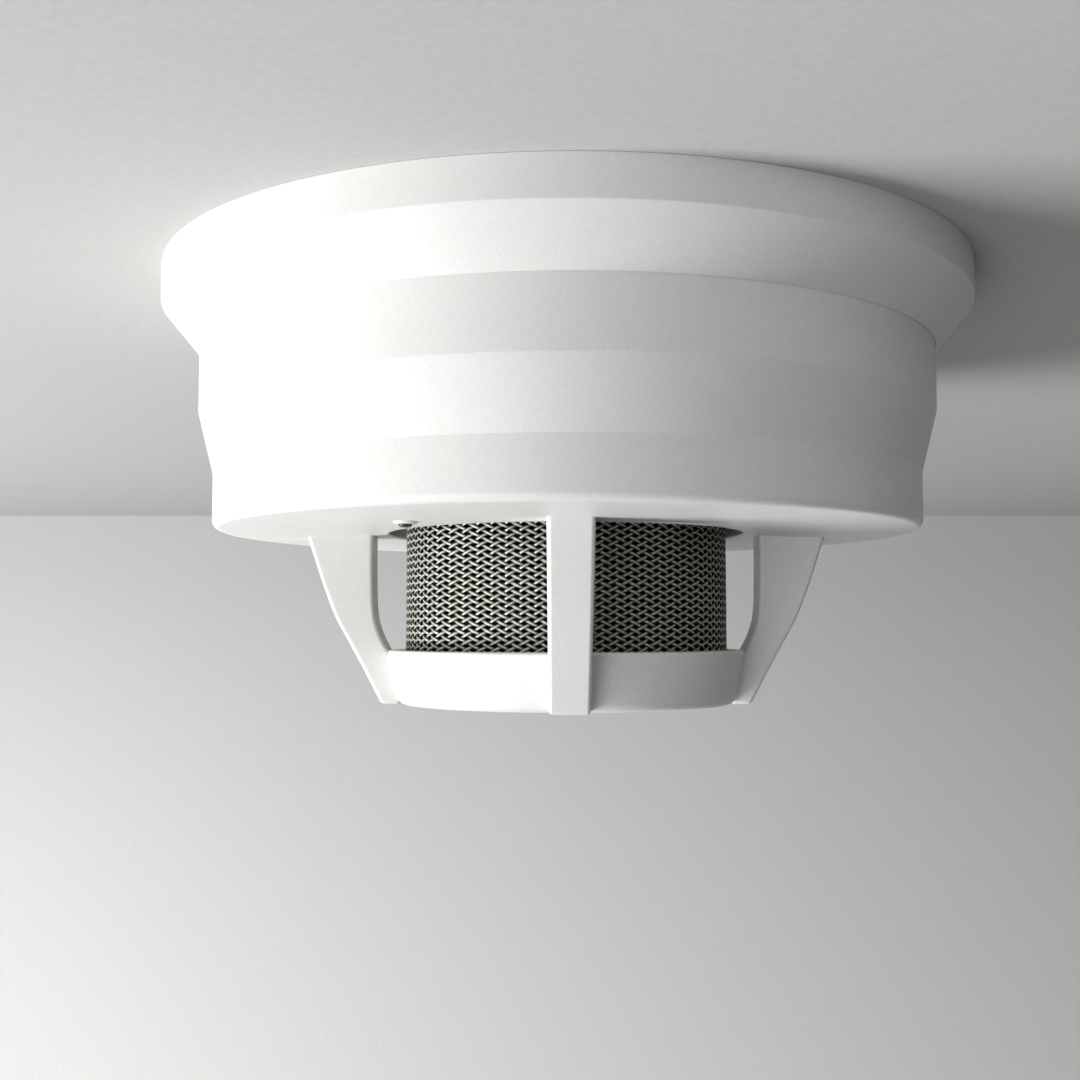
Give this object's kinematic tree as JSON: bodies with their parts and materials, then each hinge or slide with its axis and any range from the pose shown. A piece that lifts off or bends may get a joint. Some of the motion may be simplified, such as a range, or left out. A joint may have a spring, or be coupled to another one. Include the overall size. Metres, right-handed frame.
{
  "type": "smoke detector",
  "caption": "Ceiling smoke detector: twist-lock base, white head, clip-on cover with legs round a woven insect screen, smoke chamber, circuit board and terminals inside.",
  "frame": {"origin": "centre of the base's flat back, where it meets the ceiling", "axes": "+Z into the ceiling, so the detector hangs down -Z; the cover's legs stand on -Y, +X, +Y and -X, and the alarm indicator is between the -Y and -X legs"},
  "size_m": [0.1, 0.1, 0.0526],
  "materials": {
    "cover_abs": "satin white moulding, very fine grain",
    "base_abs": "satin white moulding",
    "chassis_abs": "matte off-white moulding",
    "seal_foam": "closed-cell foam",
    "chamber_black": "dead matte black",
    "screen_wire": "plain woven fine wire",
    "contact_brass": "bright stamped",
    "spring_steel": "bright stamped",
    "zinc_steel": "zinc plated",
    "board": "green solder mask",
    "chip_resin": "moulded epoxy",
    "shield_tin": "tin plate",
    "can_aluminium": "drawn can",
    "varistor_lacquer": "dipped lacquer",
    "diode_lens": "clear tinted epoxy",
    "photodiode_black": "dark infrared-pass epoxy",
    "led_red": "diffused red epoxy",
    "light_pipe": "smoked clear plastic"
  },
  "bodies": {
    "base": {"base_plate": "base_abs", "contact_clip_1": "spring_steel", "contact_clip_2": "spring_steel", "contact_clip_3": "spring_steel", "contact_clip_4": "spring_steel", "terminal_clamp_1": "zinc_steel", "terminal_clamp_2": "zinc_steel", "terminal_clamp_3": "zinc_steel", "terminal_clamp_4": "zinc_steel", "terminal_screw_1": "zinc_steel", "terminal_screw_2": "zinc_steel", "terminal_screw_3": "zinc_steel", "terminal_screw_4": "zinc_steel"},
    "seal": {"seal_ring": "seal_foam"},
    "head": {"chassis": "chassis_abs", "contact_blade_1": "contact_brass", "contact_blade_2": "contact_brass", "contact_blade_3": "contact_brass", "contact_blade_4": "contact_brass", "circuit_board": "board", "board_screw_1": "zinc_steel", "board_screw_2": "zinc_steel", "board_screw_3": "zinc_steel", "microcontroller": "chip_resin", "shield_can": "shield_tin", "bridge_rectifier": "chip_resin", "choke": "chip_resin", "capacitor_1": "can_aluminium", "capacitor_2": "can_aluminium", "varistor": "varistor_lacquer", "alarm_led": "led_red", "light_pipe": "light_pipe", "chamber_base": "chamber_black", "chamber_labyrinth": "chamber_black", "insect_screen": "screen_wire", "screen_ring": "chamber_black", "infrared_led": "diode_lens", "photodiode": "photodiode_black"},
    "cover": {"head_cover": "cover_abs"}
  },
  "joints": [
    {"name": "head_drop", "type": "slide", "parent": "base", "child": "seal", "axis": [0, 0, -1], "range_m": [0, 0.03], "deforming": ["contact_clip_1", "contact_clip_2", "contact_clip_3", "contact_clip_4"]},
    {"name": "head_twist", "type": "hinge", "parent": "seal", "child": "head", "pos_m": [0, 0, 0], "axis": [0, 0, -1], "range_deg": [0, 15]},
    {"name": "cover_drop", "type": "slide", "parent": "head", "child": "cover", "axis": [0, 0, -1], "range_m": [0, 0.045]}
  ]
}
